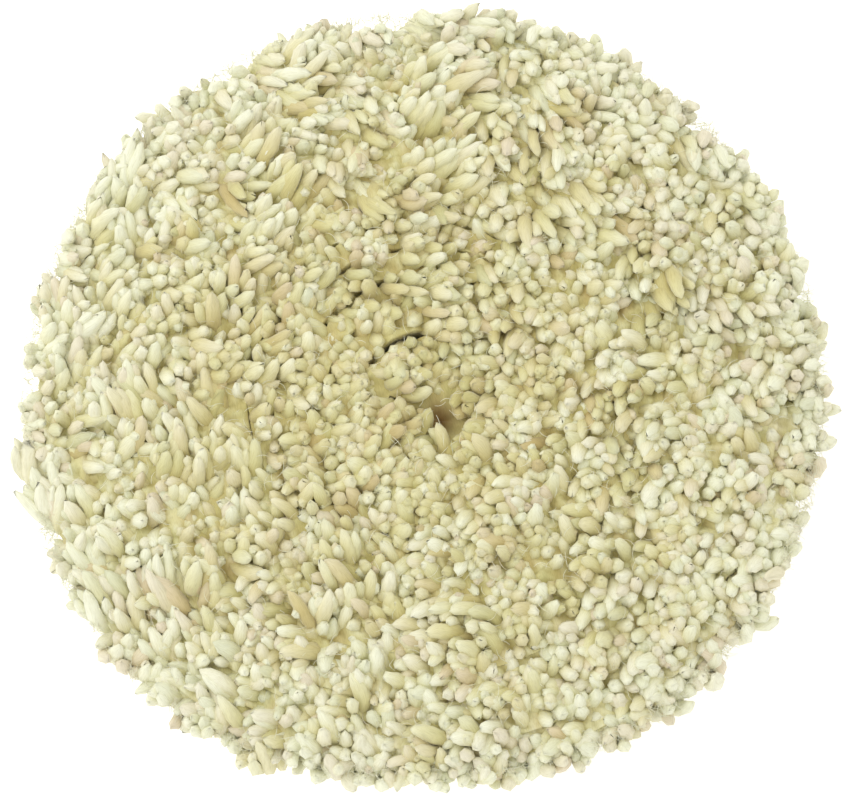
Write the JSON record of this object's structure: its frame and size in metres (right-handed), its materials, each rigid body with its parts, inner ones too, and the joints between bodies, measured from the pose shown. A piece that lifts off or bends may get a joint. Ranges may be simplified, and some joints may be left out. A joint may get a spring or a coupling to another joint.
{
  "type": "polishing pad",
  "caption": "Round twisted-wool polishing pad for a rotary polisher, with rings of tufted yarn on a stitched hook-and-loop backing and a centring hole.",
  "frame": {"origin": "centre of the loop face, the flat underside", "axes": "+Z along the centring hole, from the loop face to the wool; the pad is round about Z, so +X and +Y are any two radii at right angles"},
  "size_m": [0.2, 0.2, 0.0372],
  "materials": {
    "wool_yarn": "undyed twisted wool yarn, cut ends, matt with a soft sheen",
    "cotton_canvas": "plain-woven unbleached canvas",
    "latex": "brushed-on latex, satin",
    "needled_felt": "needled polyester felt, matt",
    "hot_melt_film": "thin hot-melt adhesive film",
    "loop_cloth": "warp-knitted nylon base cloth",
    "loop_nap": "brushed nylon loops, fuzzy and matt",
    "binding_tape": "woven twill tape",
    "sewing_thread": "twisted polyester thread, slight sheen"
  },
  "bodies": {
    "root": {"pile_row_01": "wool_yarn", "pile_row_02": "wool_yarn", "pile_row_03": "wool_yarn", "pile_row_04": "wool_yarn", "pile_row_05": "wool_yarn", "pile_row_06": "wool_yarn", "pile_row_07": "wool_yarn", "pile_row_08": "wool_yarn", "pile_row_09": "wool_yarn", "pile_row_10": "wool_yarn", "pile_row_11": "wool_yarn", "pile_row_12": "wool_yarn", "pile_row_13": "wool_yarn", "pile_row_14": "wool_yarn", "pile_row_15": "wool_yarn", "pile_row_16": "wool_yarn", "back_stitches": "wool_yarn", "canvas": "cotton_canvas", "latex_coat": "latex", "felt_cushion": "needled_felt", "adhesive_film": "hot_melt_film", "loop_cloth": "loop_cloth", "loop_nap": "loop_nap", "edge_binding": "binding_tape", "edge_stitches": "sewing_thread", "inner_lock_stitches": "sewing_thread", "outer_lock_stitches": "sewing_thread"}
  },
  "joints": []
}
